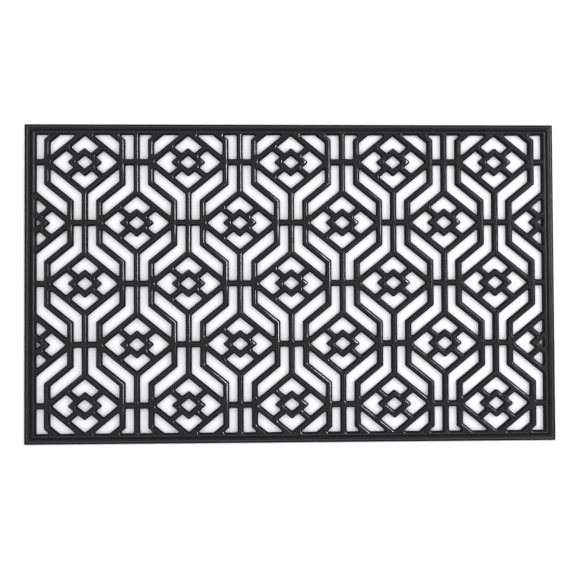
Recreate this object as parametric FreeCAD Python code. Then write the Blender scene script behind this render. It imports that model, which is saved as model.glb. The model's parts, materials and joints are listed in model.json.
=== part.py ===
"""Openwork rubber door mat: a mitred, grooved border round a lattice of diamonds, rails, posts and ties.

Frame: X along the long side, Y along the short side, Z up. The origin is at the centre of the underside,
so the mat rests on the plane z = 0. Millimetres.

The whole mat is one rubber moulding. Each node is one named feature of it, and neighbours meet face to face:
a bar of lower rank ends on the surface of the bar of higher rank that it runs into. The ranks are
border, rail, diamond, post, tie.
"""
import FreeCAD, Part
import math
import os

from FreeCAD import Vector

# ---- driving dimensions ---------------------------------------------------------------------------------
MAT_LENGTH = 762.0            # 30 in
MAT_WIDTH = 457.2             # 18 in
MAT_HEIGHT = 9.0              # border ridge and every lattice bar are equally high

COLUMN_PITCH = 147.7          # from one diamond to the next along X
ROW_PITCH = 87.15             # from one row to the next along Y; every other row is shifted half a column
ROWS = 5
LONG_ROW_DIAMONDS = 5         # rows 1, 3 and 5; rows 2 and 4 have one whole diamond fewer and two halves

RAIL_OFFSET = 53.3            # rail centreline from the centre of the diamond beside it
INNER_DIAMOND_RATIO = 0.345   # inner diamond's centreline against the outer one's

BAR_WIDTH = 9.0               # at the floor
DIAMOND_BAR_WIDTH = 8.7
SHOULDER_HEIGHT = 5.0         # the flanks are nearly upright up to here
SHOULDER_DRAFT = 0.3          # what each flank leans in up to the shoulder
HAUNCH_INSET = 1.3            # one more facet between the shoulder and the crest
HAUNCH_HEIGHT = 7.6
CREST_WIDTH = 2.6             # narrow top of each bar

END_BORDER_WIDTH = 17.0       # left and right, from the mat's edge to the openings
LONG_BORDER_WIDTH = 15.0      # front and back
RIM_WALL_HEIGHT = 4.4         # upright wall at the mat's edge
LIP_HEIGHT = 6.2              # low outer lip
STEP_HEIGHT = 5.0             # level step inside the lip
GROOVE_HEIGHT = 3.6           # floor of the groove between the step and the ridge
# where each of them lies in the border, as a share of the border's width
LIP_START = 0.10
LIP_END = 0.27
STEP_START = 0.34
STEP_END = 0.46
GROOVE_START = 0.51
GROOVE_END = 0.55

# ---- derived dimensions ---------------------------------------------------------------------------------
HALF_LENGTH = MAT_LENGTH / 2
HALF_WIDTH = MAT_WIDTH / 2
HALF_COLUMN = COLUMN_PITCH / 2
DIAMOND_HALF_HEIGHT = ROW_PITCH / 2
SIDE_ANGLE = math.atan2(DIAMOND_HALF_HEIGHT, RAIL_OFFSET)
RAIL_SHIFT = 2 * RAIL_OFFSET - HALF_COLUMN                  # sideways step of a rail from row to row
RAIL_RISE = RAIL_SHIFT * math.tan(SIDE_ANGLE)               # and the height that the step takes
RAIL_UPRIGHT = (ROW_PITCH - RAIL_RISE) / 2                  # half length of a rail's upright run
ROW_HEIGHTS = [(index - (ROWS - 1) / 2) * ROW_PITCH for index in range(ROWS)]
CLEAR_HALF_WIDTH = HALF_WIDTH - LONG_BORDER_WIDTH
CLEAR_HALF_LENGTH = HALF_LENGTH - END_BORDER_WIDTH
BITE = LONG_BORDER_WIDTH / 2                                # how far a bar runs under the border before its cut


# ---- solids from sections -------------------------------------------------------------------------------
def half_section(width):
    """Right-hand half of a bar's section, from the floor to the crest, as (offset, height)."""
    half = width / 2
    return [
        (half, 0.0),
        (half - SHOULDER_DRAFT, SHOULDER_HEIGHT),
        (half - HAUNCH_INSET, HAUNCH_HEIGHT),
        (CREST_WIDTH / 2, MAT_HEIGHT),
    ]


def bar_section(width):
    """Closed section of a bar, symmetric about its centreline."""
    right = half_section(width)
    left = [(-offset, height) for offset, height in reversed(right)]
    return right + left


def border_section():
    """Section of the border as (share of the width, height); the share grows inwards from the mat's edge."""
    mean_width = (END_BORDER_WIDTH + LONG_BORDER_WIDTH) / 2
    ridge_width = (1 - GROOVE_END) * mean_width
    ridge_centre = (1 + GROOVE_END) / 2
    ridge_half = half_section(ridge_width)
    inner = [(ridge_centre + offset / mean_width, height) for offset, height in ridge_half]
    outer = [(ridge_centre - offset / mean_width, height) for offset, height in reversed(ridge_half[1:])]
    rim = [
        (GROOVE_END, GROOVE_HEIGHT),
        (GROOVE_START, GROOVE_HEIGHT),
        (STEP_END, STEP_HEIGHT),
        (STEP_START, STEP_HEIGHT),
        (LIP_END, LIP_HEIGHT),
        (LIP_START, LIP_HEIGHT),
        (0.0, RIM_WALL_HEIGHT),
        (0.0, 0.0),
    ]
    return inner + outer + rim


def face_of(points):
    return Part.Face(Part.makePolygon(points + [points[0]]))


def skin(stations, closed):
    """Solid through equal sections: one flat face between each pair of neighbouring section edges."""
    faces = []
    count = len(stations[0])
    pairs = list(zip(stations, stations[1:]))
    if closed:
        pairs.append((stations[-1], stations[0]))
    for near, far in pairs:
        for index in range(count):
            after = (index + 1) % count
            faces.append(face_of([near[index], near[after], far[after], far[index]]))
    if not closed:
        faces.append(face_of(stations[0]))
        faces.append(face_of(stations[-1]))
    solid = Part.Solid(Part.makeShell(faces))
    if solid.Volume < 0:
        solid.reverse()
    return solid


def mitred_bar(path, width, closed=False):
    """Bar of constant section along a flat path of (x, y) corners, mitred at each corner."""
    corners = [Vector(x, y, 0) for x, y in path]
    last = len(corners) - 1
    stations = []
    for index, corner in enumerate(corners):
        if closed or 0 < index < last:
            arriving = (corner - corners[index - 1]).normalize()
            leaving = (corners[(index + 1) % len(corners)] - corner).normalize()
        elif index == 0:
            leaving = (corners[1] - corner).normalize()
            arriving = leaving
        else:
            arriving = (corner - corners[index - 1]).normalize()
            leaving = arriving
        heading = (arriving + leaving).normalize()
        stretch = 1 / arriving.dot(heading)
        sideways = Vector(heading.y, -heading.x, 0) * stretch
        section = [corner + sideways * offset + Vector(0, 0, height) for offset, height in bar_section(width)]
        stations.append(section)
    return skin(stations, closed)


def moved(shape, x, y):
    copy = shape.copy()
    copy.translate(Vector(x, y, 0))
    return copy


def fused(shapes):
    return shapes[0].multiFuse(shapes[1:]).removeSplitter()


def group(shapes):
    """Several separate solids as one node."""
    return Part.makeCompound([solid for shape in shapes for solid in shape.Solids])


def largest(shape):
    """The main solid of a cut shape, without what is left on the far side of the cutting bar."""
    return max(shape.Solids, key=lambda solid: solid.Volume)


# ---- border ---------------------------------------------------------------------------------------------
def border_side(half_span, half_depth, width, end_width, turn):
    """One border side; it lies along its own X at y = -half_depth, then is turned.

    Each line of the section runs out to its own line on the next side, so the corner mitres are closed."""
    stations = []
    for end in (-1, 1):
        section = []
        for share, height in border_section():
            section.append(Vector(end * (half_span - share * end_width), -half_depth + share * width, height))
        stations.append(section)
    side = skin(stations, closed=False)
    side.rotate(Vector(0, 0, 0), Vector(0, 0, 1), turn)
    return side


def make_border():
    long_side = (HALF_LENGTH, HALF_WIDTH, LONG_BORDER_WIDTH, END_BORDER_WIDTH)
    end_side = (HALF_WIDTH, HALF_LENGTH, END_BORDER_WIDTH, LONG_BORDER_WIDTH)
    return {
        "border_front": border_side(*long_side, turn=0),
        "border_right": border_side(*end_side, turn=90),
        "border_back": border_side(*long_side, turn=180),
        "border_left": border_side(*end_side, turn=270),
    }


# ---- rails ----------------------------------------------------------------------------------------------
def is_long_row(row):
    return row % 2 == 0


def rail_path(column_x, side):
    """Zigzag beside one long-row column: away from it in the long rows, back towards it in the short ones.

    It sets out for one more row beyond the first and the last, and the border cuts it short."""
    far = column_x + side * RAIL_OFFSET
    near = column_x + side * (HALF_COLUMN - RAIL_OFFSET)
    path = [(near, ROW_HEIGHTS[0] - ROW_PITCH + RAIL_UPRIGHT)]
    for row, height in enumerate(ROW_HEIGHTS):
        x = far if is_long_row(row) else near
        path.append((x, height - RAIL_UPRIGHT))
        path.append((x, height + RAIL_UPRIGHT))
    path.append((near, ROW_HEIGHTS[-1] + ROW_PITCH - RAIL_UPRIGHT))
    return path


def make_rails(border):
    rails = {}
    for column_x in long_row_columns():
        for side in (-1, 1):
            name = "rail_%02d" % (len(rails) + 1)
            rails[name] = largest(mitred_bar(rail_path(column_x, side), BAR_WIDTH).cut(border))
    return rails


# ---- diamonds -------------------------------------------------------------------------------------------
def diamond_path(scale):
    half_width = RAIL_OFFSET * scale
    half_height = DIAMOND_HALF_HEIGHT * scale
    return [(half_width, 0), (0, half_height), (-half_width, 0), (0, -half_height)]


def make_diamond_shape():
    """Outer diamond, inner diamond and the four arms between their sides, cut back to the two rails."""
    pieces = [
        mitred_bar(diamond_path(1.0), DIAMOND_BAR_WIDTH, closed=True),
        mitred_bar(diamond_path(INNER_DIAMOND_RATIO), DIAMOND_BAR_WIDTH, closed=True),
    ]
    for x_sign in (-1, 1):
        for y_sign in (-1, 1):
            outer_end = (x_sign * RAIL_OFFSET / 2, y_sign * DIAMOND_HALF_HEIGHT / 2)
            inner_end = tuple(INNER_DIAMOND_RATIO * value for value in outer_end)
            pieces.append(mitred_bar([inner_end, outer_end], DIAMOND_BAR_WIDTH))
    shape = fused(pieces)
    for side in (-1, 1):
        far = side * RAIL_OFFSET
        shape = shape.cut(mitred_bar([(far, -RAIL_UPRIGHT), (far, RAIL_UPRIGHT)], BAR_WIDTH))
    return largest(shape)


def make_diamonds(diamond, border):
    diamonds = {}
    for row, height in enumerate(ROW_HEIGHTS):
        columns = long_row_columns() if is_long_row(row) else short_row_columns()
        for column, x in enumerate(columns):
            name = "diamond_r%d_c%d" % (row + 1, column + 1)
            shape = moved(diamond, x, height)
            touches_border = row in (0, ROWS - 1)
            diamonds[name] = largest(shape.cut(border)) if touches_border else shape
        if not is_long_row(row):
            for side, word in ((-1, "left"), (1, "right")):
                name = "half_diamond_r%d_%s" % (row + 1, word)
                outside = side * (columns[-1] + COLUMN_PITCH)
                diamonds[name] = largest(moved(diamond, outside, height).cut(border))
    return diamonds


# ---- posts and ties -------------------------------------------------------------------------------------
def make_post_shape(diamond):
    """Post between two diamonds of one column, centred halfway between them."""
    path = [(0, -DIAMOND_HALF_HEIGHT), (0, DIAMOND_HALF_HEIGHT)]
    post = mitred_bar(path, BAR_WIDTH)
    for side in (-1, 1):
        post = post.cut(moved(diamond, 0, side * ROW_PITCH))
    return largest(post)


def make_stub_shape(diamond, border, x):
    """Post from a short-row diamond up to the back border, where a long row has no diamond."""
    top_row = ROW_HEIGHTS[-1]
    post = mitred_bar([(x, top_row - DIAMOND_HALF_HEIGHT), (x, CLEAR_HALF_WIDTH + BITE)], BAR_WIDTH)
    post = post.cut(border)
    return largest(post.cut(moved(diamond, x, ROW_HEIGHTS[-2])))


def make_posts(diamond, border):
    posts = {}
    post = make_post_shape(diamond)
    columns = sorted(long_row_columns() + short_row_columns())
    for number, x in enumerate(columns):
        pieces = []
        if x in long_row_columns():
            for row in range(1, ROWS - 1, 2):
                pieces.append(moved(post, x, ROW_HEIGHTS[row]))
        else:
            stub = make_stub_shape(diamond, border, x)
            lower_stub = stub.mirror(Vector(0, 0, 0), Vector(0, 1, 0))
            pieces = [lower_stub, moved(post, x, 0), stub]
        posts["post_c%d" % (number + 1)] = group(pieces)
    return posts


def make_tie_shape():
    """Two halves of a tie between neighbouring rails, with the post that crosses it left clear."""
    reach = HALF_COLUMN - RAIL_OFFSET
    tie = mitred_bar([(-reach, 0), (reach, 0)], BAR_WIDTH)
    post = mitred_bar([(0, -BAR_WIDTH), (0, BAR_WIDTH)], BAR_WIDTH)
    tie = tie.cut(post)
    for side in (-1, 1):
        rail = mitred_bar([(side * reach, -BAR_WIDTH), (side * reach, BAR_WIDTH)], BAR_WIDTH)
        tie = tie.cut(rail)
    return tie


def make_ties(rails, border):
    ties = {}
    tie = make_tie_shape()
    for row, height in enumerate(ROW_HEIGHTS):
        columns = long_row_columns() if is_long_row(row) else short_row_columns()
        between = [x + HALF_COLUMN for x in columns[:-1]]
        pieces = []
        if not is_long_row(row):
            between = [columns[0] - HALF_COLUMN] + between + [columns[-1] + HALF_COLUMN]
        else:
            for side in (-1, 1):
                rail_x = side * (columns[-1] + RAIL_OFFSET)
                path = [(rail_x, height), (side * (CLEAR_HALF_LENGTH + BITE), height)]
                last_rail = rails["rail_01"] if side < 0 else rails["rail_10"]
                pieces.append(mitred_bar(path, BAR_WIDTH).cut(border).cut(last_rail))
        pieces += [moved(tie, x, height) for x in between]
        ties["tie_r%d" % (row + 1)] = group(pieces)
    return ties


# ---- layout ---------------------------------------------------------------------------------------------
def long_row_columns():
    middle = (LONG_ROW_DIAMONDS - 1) / 2
    return [(index - middle) * COLUMN_PITCH for index in range(LONG_ROW_DIAMONDS)]


def short_row_columns():
    return [x + HALF_COLUMN for x in long_row_columns()[:-1]]


def make_nodes():
    border_nodes = make_border()
    border = Part.makeCompound(list(border_nodes.values()))
    diamond = make_diamond_shape()
    rails = make_rails(border)
    nodes = dict(border_nodes)
    nodes.update(rails)
    nodes.update(make_diamonds(diamond, border))
    nodes.update(make_posts(diamond, border))
    nodes.update(make_ties(rails, border))
    return nodes


os.makedirs("parts", exist_ok=True)
for node_name, node_shape in make_nodes().items():
    node_shape.exportStep("parts/%s.step" % node_name)
    solids = node_shape.Solids
    volume = sum(solid.Volume for solid in solids)
    print(node_name, "solids", len(solids), "volume %.0f" % volume, "valid", node_shape.isValid())
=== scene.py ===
# %% [markdown]
# # An openwork rubber door mat
# The real mat is one sheet of black rubber, pressed in a hot steel mould. Every bar of its lattice has steep
# flanks and a rounded crest, and the bars run into each other with small fillets where the cutter that made
# the mould turned its corners. This lesson draws the plan of each bar, pulls it up, and rounds its crest with
# a stack of insets. A section swept along each bar would be quicker to draw, but it would leave the fillets
# out.

import json
import math

import bmesh
import bpy
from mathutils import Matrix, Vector

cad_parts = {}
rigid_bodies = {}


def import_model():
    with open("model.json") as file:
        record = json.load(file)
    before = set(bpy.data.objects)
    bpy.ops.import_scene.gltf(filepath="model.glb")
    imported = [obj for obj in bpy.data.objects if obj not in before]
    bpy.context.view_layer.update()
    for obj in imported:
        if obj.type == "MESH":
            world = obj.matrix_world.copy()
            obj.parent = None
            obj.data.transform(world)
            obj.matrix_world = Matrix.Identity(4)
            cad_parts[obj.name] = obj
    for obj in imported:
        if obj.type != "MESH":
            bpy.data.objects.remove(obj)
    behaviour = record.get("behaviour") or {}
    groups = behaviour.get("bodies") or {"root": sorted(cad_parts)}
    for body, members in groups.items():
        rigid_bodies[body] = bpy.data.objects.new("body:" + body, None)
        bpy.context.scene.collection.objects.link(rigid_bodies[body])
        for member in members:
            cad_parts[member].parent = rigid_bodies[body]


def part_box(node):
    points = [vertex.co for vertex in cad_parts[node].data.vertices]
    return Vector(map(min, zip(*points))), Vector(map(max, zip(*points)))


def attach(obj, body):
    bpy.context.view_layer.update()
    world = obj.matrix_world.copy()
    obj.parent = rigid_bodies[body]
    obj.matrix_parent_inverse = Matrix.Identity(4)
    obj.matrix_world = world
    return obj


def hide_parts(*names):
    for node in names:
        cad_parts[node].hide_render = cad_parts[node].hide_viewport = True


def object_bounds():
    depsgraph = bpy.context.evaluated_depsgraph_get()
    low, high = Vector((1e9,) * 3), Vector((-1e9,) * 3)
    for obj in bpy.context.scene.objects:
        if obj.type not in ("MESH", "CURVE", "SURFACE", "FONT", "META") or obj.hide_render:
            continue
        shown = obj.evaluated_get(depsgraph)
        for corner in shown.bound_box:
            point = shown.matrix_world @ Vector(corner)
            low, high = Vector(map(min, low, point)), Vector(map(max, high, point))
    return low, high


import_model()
CAD_LOW, CAD_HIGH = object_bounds()
MM = 0.001
print("CAD box in mm:", [round(value / MM, 1) for value in (*CAD_LOW, *CAD_HIGH)])

# %% [markdown]
# ## The sizes come from the frame
# Nothing here is typed in twice: the pitch of the lattice, the widths of the border and the place of each
# rail are read from the boxes of the CAD nodes. Even rows of the lattice hold one whole diamond fewer than
# odd ones, and a half diamond at each end.


# %% Read the lattice from the CAD boxes
def middle(node):
    low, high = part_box(node)
    return (low + high) / 2


def extent(node):
    low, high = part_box(node)
    return high - low


TOP = CAD_HIGH.z
HALF_LENGTH = CAD_HIGH.x
HALF_WIDTH = CAD_HIGH.y
ROWS = 5
COLUMNS = 5                       # diamonds in the first row, the third and the last
ROW_PITCH = (middle("tie_r5").y - middle("tie_r1").y) / (ROWS - 1)
COLUMN_PITCH = middle("diamond_r3_c2").x - middle("diamond_r3_c1").x
BAR_HALF = extent("tie_r2").y / 2
END_BORDER = extent("border_left").x
LONG_BORDER = extent("border_front").y
FIRST_RAIL_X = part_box("rail_01")[0].x + BAR_HALF
RAIL_OFFSET = middle("diamond_r3_c1").x - FIRST_RAIL_X
ROW_HEIGHTS = [(row - (ROWS - 1) / 2) * ROW_PITCH for row in range(ROWS)]
WALL_X = HALF_LENGTH - END_BORDER
WALL_Y = HALF_WIDTH - LONG_BORDER
print("pitch %.2f x %.2f mm, rail offset %.2f mm" % (COLUMN_PITCH / MM, ROW_PITCH / MM, RAIL_OFFSET / MM))

# %% [markdown]
# ## The section of a bar
# A bar stands up steeply for most of its height. Then a shoulder slopes in to a narrow, level crest. The
# section is kept as a list of rings, because each ring becomes one inset of the plan. A bevel could round the
# crest too, but the shortest edge limits its width, and the fillets are full of short edges.

# %% Name what the CAD model leaves plain
DIAMOND_HALF = 4.35 * MM          # half the width of the bars in the diamonds
INNER_DIAMOND_RATIO = 0.345       # inner diamond against outer diamond, tip to tip
FOOT_HEIGHT = 0.4 * MM            # the bars leave the floor upright, then lean in a little
CREST_RINGS = (                   # distance in from the foot and drop below the crest, in mm
    (0.3, 2.4),                   # top of the steep wall
    (0.9, 1.75),
    (1.5, 1.2),
    (2.0, 0.8),
    (2.4, 0.52),
    (2.7, 0.33),
    (2.95, 0.2),
    (3.2, 0.08),
    (3.4, 0.0),                   # edge of the level crest
)
ROUNDED_STEPS = 4                 # an outer corner is round from its foot to this ring
FILLET = 1.5 * MM                 # in the corners of the openings
SMALL_FILLET = 0.5 * MM           # in the smallest openings, beside the side borders
CORNER_STEPS = 6                  # straight pieces in each rounded corner
SLACK = 0.06 * MM                 # a hidden end stays this far inside the bar that it runs into
WING_MARGIN = 3.5 * MM            # and reaches this far past its fillet, more than the insets take
RANK_DROP = 0.05 * MM             # each rank of bar is this much lower than the one that it runs into
BASE_LIFT = 0.02 * MM             # and its underside this much higher
WELD = 0.001 * MM                 # vertices closer than this are one
CORNER_WELD = 0.3 * MM            # an outer corner's arc has shrunk to less than this when it is welded
LEVEL = 0.9                       # a face is level if its normal's Z is over this
SMOOTH_BELOW = math.radians(60)   # edges that turn by more than this stay sharp

# %% [markdown]
# ## Drawing a plan
# A corner list becomes an outline: each corner with a radius is replaced by a short arc. Where the outline
# ends on a mirror line, only its own half of the arc is kept, and the mirror adds the other half.


# %% Round the corners of an outline
def corner_arc(before, corner, after, radius):
    """Points of the arc that rounds a corner."""
    arriving = (corner - before).normalized()
    leaving = (after - corner).normalized()
    half_turn = arriving.angle(leaving) / 2
    reach = radius * math.tan(half_turn)
    centre = corner + (leaving - arriving).normalized() * (radius / math.cos(half_turn))
    start = corner - arriving * reach - centre
    turn = math.copysign(2 * half_turn, arriving.cross(leaving))
    arc = []
    for step in range(CORNER_STEPS + 1):
        angle = turn * step / CORNER_STEPS
        cosine, sine = math.cos(angle), math.sin(angle)
        arc.append(centre + Vector((start.x * cosine - start.y * sine, start.x * sine + start.y * cosine)))
    return arc


def rounded(corners, mirrors=()):
    """Outline through (x, y, radius) corners. One on a mirror line keeps the positive half of its arc."""
    outline = []
    for index, (x, y, radius) in enumerate(corners):
        corner = Vector((x, y))
        before = Vector(corners[index - 1][:2])
        after = Vector(corners[(index + 1) % len(corners)][:2])
        if radius == 0:
            outline.append(corner)
            continue
        axis = next((axis for axis in mirrors if abs(corner[axis]) < WELD), None)
        if axis is not None:
            far = after if abs(before[axis]) < WELD else before
            mirrored = far.copy()
            mirrored[axis] = -far[axis]
            before, after = (mirrored, far) if far == after else (far, mirrored)
        arc = corner_arc(before, corner, after, radius)
        if axis is not None:
            arc = [point for point in arc if point[axis] > -WELD]
        outline += arc
    return outline


def crossing(start, end, other_start, other_end):
    """Where two endless lines cross."""
    along, across = end - start, other_end - other_start
    return start + along * ((other_start - start).cross(across) / along.cross(across))


# %% [markdown]
# A plan starts as a tiny plane merged to one vertex. The vertex is extruded from corner to corner and the
# loop is filled. Mirror modifiers, applied at once, complete a plan that was drawn as a half or a quarter,
# and the faces stay joined along the mirror line, so that the insets later treat them as one region.


# %% Draw plans and pull them up
def only(piece):
    """Make this the one selected object."""
    bpy.ops.object.select_all(action="DESELECT")
    piece.select_set(True)
    bpy.context.view_layer.objects.active = piece


def draw_loop(outline, height):
    """Extrude one vertex round the outline, then fill it. The mesh is in edit mode."""
    bpy.ops.mesh.select_all(action="DESELECT")
    bpy.ops.mesh.primitive_plane_add(size=MM)
    bpy.ops.mesh.merge(type="CENTER")
    bpy.ops.transform.translate(value=(outline[0].x, outline[0].y, height))
    for before, after in zip(outline, outline[1:]):
        step = after - before
        bpy.ops.mesh.extrude_region_move(TRANSFORM_OT_translate={"value": (step.x, step.y, 0)})
    bpy.ops.mesh.select_linked()
    bpy.ops.mesh.edge_face_add()


def draw_plan(name, outlines, base, mirrors=()):
    """A flat plan of one or more touching outlines."""
    bpy.ops.object.select_all(action="DESELECT")
    bpy.ops.mesh.primitive_plane_add(size=MM)
    piece = bpy.context.object
    piece.name = piece.data.name = name
    bpy.ops.object.mode_set(mode="EDIT")
    bpy.ops.mesh.select_all(action="SELECT")
    bpy.ops.mesh.delete(type="VERT")
    for outline in outlines:
        draw_loop(outline, base)
    bpy.ops.mesh.select_all(action="SELECT")
    bpy.ops.mesh.remove_doubles(threshold=WELD)
    bpy.ops.object.mode_set(mode="OBJECT")
    for axis in mirrors:
        mirror = piece.modifiers.new("Mirror", "MIRROR")
        mirror.use_axis = (axis == 0, axis == 1, False)
        mirror.merge_threshold = WELD
        bpy.ops.object.modifier_apply(modifier=mirror.name)
    return piece


def select_faces(piece, wanted):
    """Select the faces of the edited mesh whose middle passes the test."""
    bpy.ops.mesh.select_all(action="DESELECT")
    mesh = bmesh.from_edit_mesh(piece.data)
    for face in mesh.faces:
        if wanted(face):
            face.select_set(True)
    bmesh.update_edit_mesh(piece.data)


def crest_profile(top):
    """(distance in from the wall, height) of each ring, from the shoulder to the crest."""
    return [(inset * MM, top - drop * MM) for inset, drop in CREST_RINGS]


def pull_up(piece, rank):
    """Raise a plan to its foot, then inset it ring by ring to its crest."""
    base = rank * BASE_LIFT
    only(piece)
    bpy.ops.object.mode_set(mode="EDIT")
    bpy.ops.mesh.select_all(action="SELECT")
    bpy.ops.mesh.extrude_region_move(TRANSFORM_OT_translate={"value": (0, 0, FOOT_HEIGHT - base)})
    bpy.ops.mesh.select_all(action="SELECT")
    bpy.ops.mesh.normals_make_consistent(inside=False)
    select_faces(piece, lambda face: face.normal.z > LEVEL)
    reached = (0, FOOT_HEIGHT)
    for step, ring in enumerate(crest_profile(TOP - rank * RANK_DROP)):
        bpy.ops.mesh.inset(thickness=ring[0] - reached[0], depth=ring[1] - reached[1], use_even_offset=True)
        if step == ROUNDED_STEPS:
            bpy.ops.mesh.remove_doubles(threshold=CORNER_WELD)
        reached = ring
    bpy.ops.mesh.select_all(action="SELECT")
    bpy.ops.mesh.normals_make_consistent(inside=False)
    bpy.ops.object.mode_set(mode="OBJECT")
    return piece


# %% [markdown]
# ## Copies
# Each bar is modelled once. Its copies get a mesh of their own and are moved in the mesh, so every finished
# piece sits at the origin. The shading gives large faces more weight, or the hidden square end of a long bar
# would bend the highlight along its whole length.


# %% Copy, turn, join and hand over pieces
def copy_of(piece, name, move=(0, 0), half_turn=False):
    """A copy with its own mesh, moved after its turn and left unturned at the origin."""
    only(piece)
    bpy.ops.object.duplicate()
    copy = bpy.context.object
    copy.name = copy.data.name = name
    copy.rotation_euler.z = math.pi if half_turn else 0
    copy.location = (move[0], move[1], 0)
    bpy.ops.object.transform_apply(location=True, rotation=True, scale=True)
    return copy


def joined(pieces):
    """Join pieces into the first one."""
    only(pieces[0])
    for piece in pieces:
        piece.select_set(True)
    bpy.ops.object.join()
    return pieces[0]


def remove(*pieces):
    """Drop the models that were only there to be copied."""
    for piece in pieces:
        bpy.data.meshes.remove(piece.data)


def hand_over(piece, node):
    """Shade the piece, name it after its node, and let it stand for that node."""
    only(piece)
    bpy.ops.object.shade_smooth_by_angle(angle=SMOOTH_BELOW)
    weighting = piece.modifiers.new("Weighting", "WEIGHTED_NORMAL")
    weighting.keep_sharp = True
    bpy.ops.object.modifier_apply(modifier=weighting.name)
    piece.name = piece.data.name = node + "_moulding"
    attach(piece, "root")
    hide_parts(node)
    mouldings.append(piece)


mouldings = []

# %% [markdown]
# ## The diamonds
# Each diamond is an outer diamond bar round a small inner one, and four arms join the middles of their sides.
# A quarter is drawn once, on the side of the positive axes. Where the outer bar runs into a rail, the plan
# has a head that hides inside the rail, so that the fillet at the acute corner is drawn in one go with the
# bar.


# %% Work out the lines of a diamond
TIP_X = RAIL_OFFSET                              # where the outer bar meets the middle of the rail
TIP_Y = ROW_PITCH / 2
SLOPE = TIP_Y / TIP_X
LEAN = math.atan(SLOPE)
SKEW_X = DIAMOND_HALF / math.sin(LEAN)           # half a bar, measured along X and along Y
SKEW_Y = DIAMOND_HALF / math.cos(LEAN)
INNER_X = TIP_X * INNER_DIAMOND_RATIO
INNER_Y = TIP_Y * INNER_DIAMOND_RATIO
HEAD_IN = BAR_HALF - SLACK                       # a head starts this far before the rail's middle
HEAD_OUT = 3.7 * MM                              # and ends this far past it
HEAD_DEPTH = 6.9 * MM                            # a head under the border is this deep
OUTER = crest_profile(TOP)[ROUNDED_STEPS][0]     # radius of an outer corner at its foot


def on_bar(tip_y, x):
    """Height of a diamond's line above x, for the line that cuts the Y axis at tip_y."""
    return tip_y - x * SLOPE


def wing(angle):
    """How far a head reaches sideways to carry the fillet of a corner with this angle."""
    return FILLET / math.tan(angle / 2) + WING_MARGIN


arm_up = Vector((TIP_X, TIP_Y))
arm_low = Vector((0, -SKEW_Y))
arm_high = Vector((0, SKEW_Y))


def arm_corner(flank, tip_y):
    """Corner between a flank of the arm and a diamond line, rounded like the cutter."""
    corner = crossing(flank, flank + arm_up, Vector((0, tip_y)), Vector((1, on_bar(tip_y, 1))))
    return corner.x, corner.y, FILLET


wall_corner = Vector((TIP_X - HEAD_IN, on_bar(TIP_Y + SKEW_Y, TIP_X - HEAD_IN)))
acute = math.pi / 2 - LEAN
lower_half = [
    (INNER_X - SKEW_X, 0, FILLET),
    (INNER_X + SKEW_X, 0, OUTER),
    arm_corner(arm_low, INNER_Y + SKEW_Y),
    arm_corner(arm_low, TIP_Y - SKEW_Y),
    (TIP_X - SKEW_X, 0, FILLET),
    (TIP_X + HEAD_OUT, 0, 0),
    (TIP_X + HEAD_OUT, wall_corner.y + wing(acute), 0),
    (wall_corner.x, wall_corner.y + wing(acute), 0),
    (wall_corner.x, wall_corner.y, FILLET),
]
upper_half = [
    (0, TIP_Y - SKEW_Y, FILLET),
    arm_corner(arm_high, TIP_Y - SKEW_Y),
    arm_corner(arm_high, INNER_Y + SKEW_Y),
    (0, INNER_Y + SKEW_Y, OUTER),
    (0, INNER_Y - SKEW_Y, FILLET),
]
quarter = lower_half + [(0, TIP_Y + SKEW_Y, 0)] + upper_half
print("a diamond's quarter has", len(rounded(quarter, (0, 1))), "vertices")

# %% [markdown]
# The plain diamond is mirrored twice while it is still flat, then raised as one piece.

# %% Raise the plain diamond
DIAMOND_RANK = 2
diamond = draw_plan("diamond", [rounded(quarter, (0, 1))], DIAMOND_RANK * BASE_LIFT, (0, 1))
pull_up(diamond, DIAMOND_RANK)
print("a diamond has", len(diamond.data.polygons), "faces")

# %% [markdown]
# The diamonds of the first and last row lose their outer tip to the border. That side is drawn again, with a
# head that hides under the border's ridge, and is welded to a plain half along the line between them. The
# first row is the last row turned half round.

# %% Raise the diamond of the last row
wall_y = WALL_Y + SLACK - ROW_HEIGHTS[-1]
end_x = (TIP_Y + SKEW_Y - wall_y) / SLOPE
border_head = [
    (end_x, wall_y, FILLET),
    (end_x + wing(LEAN), wall_y, 0),
    (end_x + wing(LEAN), wall_y + HEAD_DEPTH, 0),
    (0, wall_y + HEAD_DEPTH, 0),
]
border_quarter = rounded(lower_half + border_head + upper_half, (0, 1))
plain_quarter = [Vector((point.x, -point.y)) for point in rounded(quarter, (0, 1))]
edge_diamond = draw_plan("edge_diamond", [border_quarter, plain_quarter], DIAMOND_RANK * BASE_LIFT, (0,))
pull_up(edge_diamond, DIAMOND_RANK)
print("an edge diamond has", len(edge_diamond.data.polygons), "faces")

# %% [markdown]
# At both ends of the short rows there is only half a diamond, and its bars run into the side border. Its
# heads under the ridge are drawn bar by bar.

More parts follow.
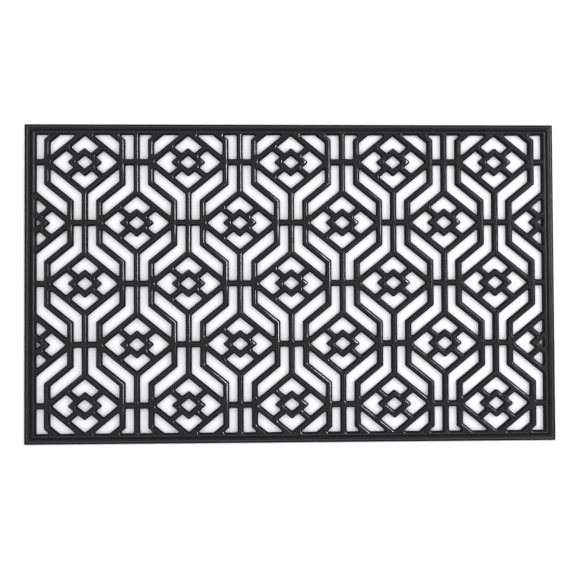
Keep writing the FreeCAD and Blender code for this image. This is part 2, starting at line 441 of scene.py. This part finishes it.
# %% Raise the half diamond at the left end
HALF_MIDDLE = COLUMNS / 2 * COLUMN_PITCH
wall_x = HALF_MIDDLE - WALL_X - SLACK
back_x = wall_x - HEAD_DEPTH
top_outer = on_bar(TIP_Y + SKEW_Y, wall_x)
top_inner = on_bar(TIP_Y - SKEW_Y, wall_x)
ring_outer = on_bar(INNER_Y + SKEW_Y, wall_x)
ring_inner = on_bar(INNER_Y - SKEW_Y, wall_x)
blunt = math.pi - acute
end_heads = [
    (wall_x, top_outer, FILLET),
    (wall_x, top_outer + wing(blunt), 0),
    (back_x, top_outer + wing(blunt), 0),
    (back_x, top_inner - wing(acute), 0),
    (wall_x, top_inner - wing(acute), 0),
    (wall_x, top_inner, FILLET),
    arm_corner(arm_high, TIP_Y - SKEW_Y),
    arm_corner(arm_high, INNER_Y + SKEW_Y),
    (wall_x, ring_outer, FILLET),
    (wall_x, ring_outer + wing(blunt), 0),
    (back_x, ring_outer + wing(blunt), 0),
    (back_x, 0, 0),
    (wall_x, 0, 0),
    (wall_x, ring_inner, SMALL_FILLET),
]
small_opening = [(INNER_X - SKEW_X, 0, SMALL_FILLET)]
end_half = rounded(small_opening + lower_half[1:] + end_heads, (1,))
end_diamond = draw_plan("end_diamond", [end_half], DIAMOND_RANK * BASE_LIFT, (1,))
pull_up(end_diamond, DIAMOND_RANK)
print("an end diamond has", len(end_diamond.data.polygons), "faces")

# %% [markdown]
# Every other row is shifted by half a column. The models that were only there to be copied are removed.

# %% Set the diamonds out
for row in range(ROWS):
    long_row = row % 2 == 0
    count = COLUMNS if long_row else COLUMNS - 1
    model = edge_diamond if row in (0, ROWS - 1) else diamond
    for column in range(count):
        x = (column - (count - 1) / 2) * COLUMN_PITCH
        node = "diamond_r%d_c%d" % (row + 1, column + 1)
        hand_over(copy_of(model, node, (x, ROW_HEIGHTS[row]), row == 0), node)
    if not long_row:
        left = "half_diamond_r%d_left" % (row + 1)
        right = "half_diamond_r%d_right" % (row + 1)
        hand_over(copy_of(end_diamond, left, (-HALF_MIDDLE, ROW_HEIGHTS[row])), left)
        hand_over(copy_of(end_diamond, right, (HALF_MIDDLE, ROW_HEIGHTS[row]), True), right)
remove(diamond, edge_diamond, end_diamond)
print(len(mouldings), "diamonds set out")

# %% [markdown]
# ## The rails
# Ten zigzag rails cross the mat from front to back. A rail stands upright beside each row and slants in
# between, parallel to the sides of the diamonds. Its line is drawn down one flank and back along the other,
# with fillets only in the bends that face an opening from the inside.


# %% Work out the line of a rail
def beside(path, distance):
    """Corners of the line at this distance to the right of a path, with fillets where it is hollow."""
    corners = []
    for before, corner, after in zip(path, path[1:], path[2:]):
        arriving, leaving = (corner - before).normalized(), (after - corner).normalized()
        first = Vector((arriving.y, -arriving.x))
        second = Vector((leaving.y, -leaving.x))
        place = corner + (first + second) * (distance / (1 + first.dot(second)))
        hollow = arriving.cross(leaving) * distance < 0
        corners.append((place.x, place.y, FILLET if hollow else 0))
    return corners


RAIL_RANK = 1
near_x = COLUMN_PITCH / 2 - RAIL_OFFSET          # a rail swings between this x and RAIL_OFFSET
upright = (ROW_PITCH - (RAIL_OFFSET - near_x) * SLOPE) / 2       # half an upright stretch
path = []
for row in range(-1, ROWS + 1):
    x = near_x if row % 2 else RAIL_OFFSET
    y = (row - (ROWS - 1) / 2) * ROW_PITCH
    path += [Vector((x, y - upright)), Vector((x, y + upright))]
path = path[1:-1]
end_y = WALL_Y + SLACK
right_flank = beside(path, BAR_HALF)
left_flank = beside(path, -BAR_HALF)


def flank_end(flank):
    """Where the last slant of a flank meets the border."""
    slant = (path[-1] - path[-2]).normalized()
    start = Vector(flank[-1][:2])
    return crossing(start, start + slant, Vector((0, end_y)), Vector((1, end_y))).x


right_end = flank_end(right_flank)
left_end = flank_end(left_flank)
head = [
    (right_end, end_y, FILLET),
    (right_end + wing(LEAN), end_y, 0),
    (right_end + wing(LEAN), end_y + HEAD_DEPTH, 0),
    (left_end - wing(math.pi - LEAN), end_y + HEAD_DEPTH, 0),
    (left_end - wing(math.pi - LEAN), end_y, 0),
    (left_end, end_y, FILLET),
]
foot = [(x, -y, radius) for x, y, radius in reversed(head)]
corners = foot + right_flank + head + list(reversed(left_flank))
rail = draw_plan("rail", [rounded(corners)], RAIL_RANK * BASE_LIFT)
pull_up(rail, RAIL_RANK)
print("a rail has", len(rail.data.polygons), "faces")

# %% [markdown]
# Each column of diamonds has a rail on its right, and the same rail turned half round on its left.

# %% Set the rails out
for column in range(COLUMNS):
    x = (column - (COLUMNS - 1) / 2) * COLUMN_PITCH
    right = "rail_%02d" % (2 * column + 2)
    left = "rail_%02d" % (2 * (COLUMNS - 1 - column) + 1)
    hand_over(copy_of(rail, right, (x, 0)), right)
    hand_over(copy_of(rail, left, (-x, 0), True), left)
remove(rail)
print(2 * COLUMNS, "rails set out")

# %% [markdown]
# ## The posts
# Posts stand in line with the tips of the diamonds. A full post joins a diamond to the next one, two rows
# away, and a stub joins a diamond of a short row to the border. The posts of one column are one piece.

# %% Model a post and a stub
POST_RANK = 3
post_end = TIP_Y - HEAD_OUT
half_post = ROW_PITCH - post_end
corners = [
    (-BAR_HALF, -half_post, 0),
    (BAR_HALF, -half_post, 0),
    (BAR_HALF, half_post, 0),
    (-BAR_HALF, half_post, 0),
]
post = draw_plan("post", [rounded(corners)], POST_RANK * BASE_LIFT)
pull_up(post, POST_RANK)
stub_start = ROW_HEIGHTS[-2] + post_end
square = math.pi / 2
corners = [
    (-BAR_HALF, stub_start, 0),
    (BAR_HALF, stub_start, 0),
    (BAR_HALF, end_y, FILLET),
    (BAR_HALF + wing(square), end_y, 0),
    (BAR_HALF + wing(square), end_y + HEAD_DEPTH, 0),
    (-BAR_HALF - wing(square), end_y + HEAD_DEPTH, 0),
    (-BAR_HALF - wing(square), end_y, 0),
    (-BAR_HALF, end_y, FILLET),
]
stub = draw_plan("stub", [rounded(corners)], POST_RANK * BASE_LIFT)
pull_up(stub, POST_RANK)
print("a post is %.1f mm long" % (2 * half_post / MM))

# %% [markdown]
# Posts stand half a column apart. Odd columns have two full posts, and even ones a stub, a post and a stub.

# %% Set the posts out
for column in range(2 * COLUMNS - 1):
    x = (column - (COLUMNS - 1)) * COLUMN_PITCH / 2
    node = "post_c%d" % (column + 1)
    if column % 2 == 0:
        parts = [copy_of(post, node, (x, ROW_HEIGHTS[1])), copy_of(post, node, (x, ROW_HEIGHTS[3]))]
    else:
        parts = [copy_of(stub, node, (x, 0)), copy_of(post, node, (x, 0)), copy_of(stub, node, (x, 0), True)]
    hand_over(joined(parts), node)
remove(post, stub)
print(2 * COLUMNS - 1, "columns of posts set out")

# %% [markdown]
# ## The ties
# Short cross bars tie the rails to each other, through the posts, and to the side borders. A tie is a little
# wider where it passes through a post, so that its four corners there come out filleted.

# %% Model a tie and a side tie
TIE_RANK = 4
rail_face = near_x - HEAD_IN
bulge = BAR_HALF + wing(square)
upper_side = [
    (near_x + HEAD_OUT, bulge, 0),
    (rail_face, bulge, 0),
    (rail_face, BAR_HALF, FILLET),
    (HEAD_IN, BAR_HALF, FILLET),
    (HEAD_IN, bulge, 0),
]
upper_side += [(-x, y, radius) for x, y, radius in reversed(upper_side)]
lower_side = [(-x, -y, radius) for x, y, radius in upper_side]
tie = draw_plan("tie", [rounded(upper_side + lower_side)], TIE_RANK * BASE_LIFT)
pull_up(tie, TIE_RANK)
last_rail = (COLUMNS - 1) / 2 * COLUMN_PITCH + RAIL_OFFSET
side_wall = WALL_X + SLACK
upper_side = [
    (side_wall + HEAD_DEPTH, bulge, 0),
    (side_wall, bulge, 0),
    (side_wall, BAR_HALF, FILLET),
    (last_rail + HEAD_IN, BAR_HALF, FILLET),
    (last_rail + HEAD_IN, bulge, 0),
    (last_rail - HEAD_OUT, bulge, 0),
]
lower_side = [(x, -y, radius) for x, y, radius in reversed(upper_side)]
side_tie = draw_plan("side_tie", [rounded(upper_side + lower_side)], TIE_RANK * BASE_LIFT)
pull_up(side_tie, TIE_RANK)
print("a tie spans %.1f mm between two rails" % (2 * rail_face / MM))

# %% [markdown]
# A tie crosses the gap between two columns of diamonds. Long rows end in a side tie at both ends.

# %% Set the ties out
for row in range(ROWS):
    node = "tie_r%d" % (row + 1)
    long_row = row % 2 == 0
    count = COLUMNS - 1 if long_row else COLUMNS
    y = ROW_HEIGHTS[row]
    places = [(column - (count - 1) / 2) * COLUMN_PITCH for column in range(count)]
    parts = [copy_of(tie, node, (x, y)) for x in places]
    if long_row:
        parts += [copy_of(side_tie, node, (0, y)), copy_of(side_tie, node, (0, y), True)]
    hand_over(joined(parts), node)
remove(tie, side_tie)
print(len(mouldings), "mouldings so far")

# %% [markdown]
# ## The border
# Seen from outside in, the border has a sloping lip, a fine groove, a level ledge, a deep groove and a ridge
# like the bars. One section serves all four sides. Each line of the section runs between its own two mitre
# points, because the side borders are a little wider than the long ones.

# %% Draw the section of the border
RIDGE_HALF = 3.5 * MM                            # half the ridge of the long borders
WIDER_SIDE = 1 * MM                              # the ridges of the side borders are wider by this
LONG_GROOVE = LONG_BORDER - 2 * RIDGE_HALF       # from the outer edge to the ridge
SIDE_GROOVE = END_BORDER - 2 * RIDGE_HALF - WIDER_SIDE
GROOVE_Z = 4.0 * MM                              # floor of the deep groove
BLUNT = 0.9 * MM                                 # radii of the rim's corners
SOFT = 0.5 * MM
TIGHT = 0.35 * MM
rim_corners = [                                  # share of the way from the edge to the ridge, height, radius
    (0, 0, 0),
    (0, 4.2 * MM, BLUNT),                        # outer wall
    (0.33, 6.2 * MM, BLUNT),                     # top of the lip
    (0.55, 5.4 * MM, SOFT),
    (0.62, 4.4 * MM, TIGHT),                     # fine groove
    (0.69, 5.1 * MM, TIGHT),                     # ledge
    (0.89, 4.9 * MM, SOFT),
    (0.95, GROOVE_Z, TIGHT),                     # deep groove
    (1, GROOVE_Z, 0),
]
mean_groove = (SIDE_GROOVE + LONG_GROOVE) / 2
rim = rounded([(share * mean_groove, z, radius) for share, z, radius in rim_corners])
ridge = crest_profile(TOP)
section = [(point.x / mean_groove, 0, point.y) for point in rim]
section += [(1, inset, z) for inset, z in ridge]
section += [(None, inset, z) for inset, z in reversed(ridge)]
section += [(None, 0, FOOT_HEIGHT), (None, 0, 0)]


def across(share, inset, groove, width):
    """Distance from the outer edge of a point of the section."""
    return width - inset if share is None else share * groove + inset


side_places = [across(share, inset, SIDE_GROOVE, END_BORDER) for share, inset, z in section]
long_places = [across(share, inset, LONG_GROOVE, LONG_BORDER) for share, inset, z in section]
heights = [z for share, inset, z in section]
print("the border's section has", len(section), "points")

# %% [markdown]
# Half a side is enough: the section is drawn at the mitre, extruded to the middle and mirrored. The face that
# the extrusion leaves in the middle is deleted first, or it would stay inside the piece as a wall.


# %% Raise a side of the border
def border_side(name, half_span, half_depth, places, end_places):
    """The front side of a frame of that size, from the mitred section at its left end."""
    bpy.ops.object.select_all(action="DESELECT")
    bpy.ops.mesh.primitive_plane_add(size=MM)
    piece = bpy.context.object
    piece.name = piece.data.name = name
    bpy.ops.object.mode_set(mode="EDIT")
    bpy.ops.mesh.select_all(action="SELECT")
    bpy.ops.mesh.merge(type="CENTER")
    bpy.ops.transform.translate(value=(-half_span + end_places[0], -half_depth + places[0], heights[0]))
    for index in range(1, len(places)):
        step = (
            end_places[index] - end_places[index - 1],
            places[index] - places[index - 1],
            heights[index] - heights[index - 1],
        )
        bpy.ops.mesh.extrude_region_move(TRANSFORM_OT_translate={"value": step})
    bpy.ops.mesh.select_all(action="SELECT")
    bpy.ops.mesh.edge_face_add()
    bpy.ops.mesh.extrude_region_move(TRANSFORM_OT_translate={"value": (half_span, 0, 0)})
    mesh = bmesh.from_edit_mesh(piece.data)
    for vertex in mesh.verts:
        if vertex.select:
            vertex.co.x = 0
    select_faces(piece, lambda face: max(abs(vertex.co.x) for vertex in face.verts) < WELD)
    bpy.ops.mesh.delete(type="FACE")
    bpy.ops.object.mode_set(mode="OBJECT")
    mirror = piece.modifiers.new("Mirror", "MIRROR")
    mirror.merge_threshold = WELD
    bpy.ops.object.modifier_apply(modifier=mirror.name)
    bpy.ops.object.mode_set(mode="EDIT")
    bpy.ops.mesh.select_all(action="SELECT")
    bpy.ops.mesh.normals_make_consistent(inside=False)
    bpy.ops.object.mode_set(mode="OBJECT")
    return piece


front = border_side("front", HALF_LENGTH, HALF_WIDTH, long_places, side_places)
hand_over(copy_of(front, "border_back", (0, 0), True), "border_back")
hand_over(front, "border_front")
side = border_side("side", HALF_WIDTH, HALF_LENGTH, side_places, long_places)
only(side)
side.rotation_euler.z = math.pi / 2
bpy.ops.object.transform_apply(location=True, rotation=True, scale=True)
hand_over(copy_of(side, "border_left", (0, 0), True), "border_left")
hand_over(side, "border_right")
print(len(mouldings), "mouldings,", sum(len(piece.data.polygons) for piece in mouldings), "faces")

# %% [markdown]
# ## The finishes
# Compression-moulded rubber is almost black, with a satin skin that copies the fine blasted grain of the
# mould. It is never one even tone: the skin undulates a little, wax blooms in faint patches, and pale dust
# sits on it. Procedural noise does all of that. An image would have to be unwrapped on to 55 pieces.


# %% Make nodes in one line
def linear(colour):
    """A colour such as 2b2b2d, turned from sRGB to linear."""
    channels = [int(colour[index:index + 2], 16) / 255 for index in (0, 2, 4)]
    return [c / 12.92 if c <= 0.04045 else ((c + 0.055) / 1.055) ** 2.4 for c in channels] + [1]


def add(tree, kind, settings=(), values=(), links=()):
    """Add a node, set its properties and its sockets, and link sockets to it."""
    node = tree.nodes.new(kind)
    for name, value in dict(settings).items():
        setattr(node, name, value)
    for name, value in dict(values).items():
        node.inputs[name].default_value = value
    for name, socket in dict(links).items():
        tree.links.new(socket, node.inputs[name])
    return node


def new_material(name):
    material = bpy.data.materials.new(name)
    material.use_nodes = True
    material.node_tree.nodes.clear()
    return material


# %% [markdown]
# Use scuffs the level crests. What still shines is the rounded edge of a crest. So the shine follows the way
# that the surface faces: the specular level is highest beside a crest, low on it, and nil on the walls. A
# real wall has some shine, but here it drew a bright line along the floor, so the walls get a painted sheen
# instead: a lighter grey base colour where the surface is steep.
# The level is linked, because it varies over the surface. A model exported to glTF leaves a linked level out.

# %% Black rubber
# Gives the eye a satin near-black with fine grain, faint bloom, a few pale specks, a painted sheen that greys
# the walls, and a bright line on each bar.
GRAIN = 900                       # per metre: a grain of 1.1 mm, as the real one of 0.1 mm wouldn't show
SPECK = 420                       # dust gathers in specks about 2.4 mm apart
SWELL = 70                        # the skin rises and falls every 14 mm
BLOOM = 16                        # patches of wax are about 60 mm across
rubber = new_material("rubber_compression_moulded")
tree = rubber.node_tree
place = add(tree, "ShaderNodeTexCoord").outputs["Object"]
grain = add(
    tree, "ShaderNodeTexNoise", values={"Scale": GRAIN, "Detail": 3, "Roughness": 0.6},
    links={"Vector": place},
)
swell = add(tree, "ShaderNodeTexNoise", values={"Scale": SWELL, "Detail": 2}, links={"Vector": place})
bloom = add(
    tree, "ShaderNodeTexNoise", values={"Scale": BLOOM, "Detail": 5, "Roughness": 0.6},
    links={"Vector": place},
)
specks = add(tree, "ShaderNodeTexNoise", values={"Scale": SPECK, "Detail": 2}, links={"Vector": place})
tone = add(
    tree, "ShaderNodeMix", {"data_type": "RGBA"},
    {"A": linear("0c0c0e"), "B": linear("141416")}, {"Factor": bloom.outputs["Fac"]},
)
dust = add(
    tree, "ShaderNodeMapRange", values={"From Min": 0.62, "From Max": 0.78, "To Max": 0.2},
    links={"Value": specks.outputs["Fac"]},
)
dusted = add(
    tree, "ShaderNodeMix", {"data_type": "RGBA"}, {"B": linear("6f6e6b")},
    {"Factor": dust.outputs["Result"], "A": tone.outputs["Result"]},
)
shine = add(
    tree, "ShaderNodeMapRange", values={"From Min": 0.3, "From Max": 0.7, "To Min": 0.17, "To Max": 0.25},
    links={"Value": bloom.outputs["Fac"]},
)
fine = add(
    tree, "ShaderNodeBump", values={"Strength": 0.4, "Distance": 0.08 * MM},
    links={"Height": grain.outputs["Fac"]},
)
broad = add(
    tree, "ShaderNodeBump", values={"Strength": 0.5, "Distance": 0.4 * MM},
    links={"Height": swell.outputs["Fac"], "Normal": fine.outputs["Normal"]},
)
# Z of the normal: 1 on the level crest, 0 on a wall
facing = add(
    tree, "ShaderNodeSeparateXYZ", links={"Vector": add(tree, "ShaderNodeNewGeometry").outputs["Normal"]},
)
# painted sheen: the steeper the surface, the more its base colour turns a lighter grey, in place of the shine
# that the walls lack
painted_sheen_share = add(
    tree, "ShaderNodeMapRange", values={"From Min": 0.5, "From Max": 0.92, "To Min": 1.0, "To Max": 0.0},
    links={"Value": facing.outputs["Z"]},
)
# mixes in the lighter grey of the painted wall sheen
painted_wall_sheen = add(
    tree, "ShaderNodeMix", {"data_type": "RGBA"}, {"B": linear("28282a")},
    {"Factor": painted_sheen_share.outputs["Result"], "A": dusted.outputs["Result"]},
)
buffed = add(
    tree, "ShaderNodeMapRange", values={"From Min": 0.84, "From Max": 0.91, "To Min": 0.0, "To Max": 0.5},
    links={"Value": facing.outputs["Z"]},
)
edge = add(
    tree, "ShaderNodeMapRange", values={"From Min": 0.95, "From Max": 0.995, "To Min": 1.0, "To Max": 0.3},
    links={"Value": facing.outputs["Z"]},
)
gloss = add(
    tree, "ShaderNodeMath", {"operation": "MULTIPLY"},
    links={0: buffed.outputs["Result"], 1: edge.outputs["Result"]},
)
skin = add(
    tree, "ShaderNodeBsdfPrincipled", values={"IOR": 1.52},
    links={
        "Specular IOR Level": gloss.outputs["Value"],
        "Base Color": painted_wall_sheen.outputs["Result"],
        "Roughness": shine.outputs["Result"],
        "Normal": broad.outputs["Normal"],
    },
)
add(tree, "ShaderNodeOutputMaterial", links={"Surface": skin.outputs["BSDF"]})
for piece in mouldings:
    piece.data.materials.clear()
    piece.data.materials.append(rubber)
print("rubber on", len(mouldings), "pieces, from", len(tree.nodes), "nodes")

# %% [markdown]
# The board under the mat is painted chipboard. Its tone drifts by a hair, and its skin has the tooth of a
# roller.

# %% Pale studio board
# Gives the eye an even, nearly white ground, a trace cooler than pure white.
TOOTH = 300                       # per metre: a roller leaves a tooth of about 3 mm
CLOUD = 3                         # and the coat thickens and thins every third of a metre
board = new_material("board_matt_painted")
tree = board.node_tree
place = add(tree, "ShaderNodeTexCoord").outputs["Object"]
tooth = add(tree, "ShaderNodeTexNoise", values={"Scale": TOOTH, "Detail": 3}, links={"Vector": place})
cloud = add(tree, "ShaderNodeTexNoise", values={"Scale": CLOUD, "Detail": 2}, links={"Vector": place})
tone = add(
    tree, "ShaderNodeMix", {"data_type": "RGBA"},
    {"A": linear("f2f4f7"), "B": linear("f6f8fa")}, {"Factor": cloud.outputs["Fac"]},
)
bump = add(
    tree, "ShaderNodeBump", values={"Strength": 0.2, "Distance": 0.1 * MM},
    links={"Height": tooth.outputs["Fac"]},
)
paint = add(
    tree, "ShaderNodeBsdfPrincipled", values={"Roughness": 0.8, "IOR": 1.45},
    links={"Base Color": tone.outputs["Result"], "Normal": bump.outputs["Normal"]},
)
add(tree, "ShaderNodeOutputMaterial", links={"Surface": paint.outputs["BSDF"]})
print("board from", len(tree.nodes), "nodes")

# %% [markdown]
# ## The studio
# The mat lies on a white board, so wide that its far edge is lost in the bright dome. A camera looks almost
# straight down on it.

# %% Lay the floor
FLOOR_SIZE = 40                   # metres
FLOOR_Z = CAD_LOW.z - SLACK       # just under the mat
bpy.ops.object.select_all(action="DESELECT")
bpy.ops.mesh.primitive_plane_add(size=FLOOR_SIZE, location=(0, 0, FLOOR_Z))
floor = bpy.context.object
floor.name = floor.data.name = "studio_floor"
bpy.ops.object.transform_apply(location=True, rotation=True, scale=True)
floor.data.materials.append(board)
print("floor at z = %.2f mm" % (FLOOR_Z / MM))

# %% [markdown]
# A bright dome gives the flat, even light of a product studio. A softbox to the right makes the faint
# shadows. Beside it, a long thin strip light draws one thin bright line along every bar that faces it. Matt
# surfaces don't see the strip, so it adds no hard shadow to the board.


# %% Set the light
def softbox(name, place, target, width, length, power):
    """An area light at a place, facing a target."""
    bpy.ops.object.light_add(type="AREA", location=place)
    lamp = bpy.context.object
    lamp.name = name
    lamp.data.shape = "RECTANGLE"
    lamp.data.size = width
    lamp.data.size_y = length
    lamp.data.energy = power
    lamp.visible_camera = False
    lamp.rotation_euler = (Vector(target) - Vector(place)).to_track_quat("-Z", "Y").to_euler()
    return lamp


softbox("key_softbox", place=(1.2, 0.3, 1.3), target=(0, 0, 0), width=0.6, length=0.6, power=6)
strip = softbox(
    "strip_light", place=(1.25, 0.42, 1.15), target=(0, 0.42, 0), width=0.9, length=0.1, power=44,
)
strip.visible_diffuse = False
scene = bpy.context.scene
world = bpy.data.worlds.new("studio")
scene.world = world
world.use_nodes = True
dome = world.node_tree
dome.nodes.clear()
direction = add(dome, "ShaderNodeTexCoord").outputs["Generated"]
height = add(dome, "ShaderNodeSeparateXYZ", links={"Vector": direction}).outputs["Z"]
# brighter overhead than at the horizon
glow = add(
    dome, "ShaderNodeMapRange", values={"From Min": 0.1, "From Max": 0.9, "To Min": 0.95, "To Max": 1.4},
    links={"Value": height},
)
sky = add(
    dome, "ShaderNodeBackground", values={"Color": linear("ffffff")},
    links={"Strength": glow.outputs["Result"]},
)
add(dome, "ShaderNodeOutputWorld", links={"Surface": sky.outputs["Background"]})
scene.view_settings.view_transform = "Standard"
print("dome, softbox and strip light")

# %% [markdown]
# The camera hangs 1.7 m above the mat, a hand's breadth left of its middle, with a lens long enough to keep
# the mat's sides almost parallel. It leans by two degrees, so the mat looks very slightly tapered.

# %% Set the camera
CAMERA_PLACE = (-0.0738, -0.0592, 1.6985)        # metres
CAMERA_TURN = (1.672, -2.410, -0.286)            # degrees
LENS = 73.25                                     # mm, on a sensor 36 mm wide
SENSOR = 36
FARTHEST = 100                                   # metres, past the far edge of the floor
bpy.ops.object.camera_add(location=CAMERA_PLACE)
camera = bpy.context.object
camera.name = "camera"
camera.rotation_euler = [math.radians(angle) for angle in CAMERA_TURN]
camera.data.lens = LENS
camera.data.sensor_width = SENSOR
camera.data.clip_end = FARTHEST
scene.camera = camera
print("camera %.2f m above the floor" % camera.location.z)
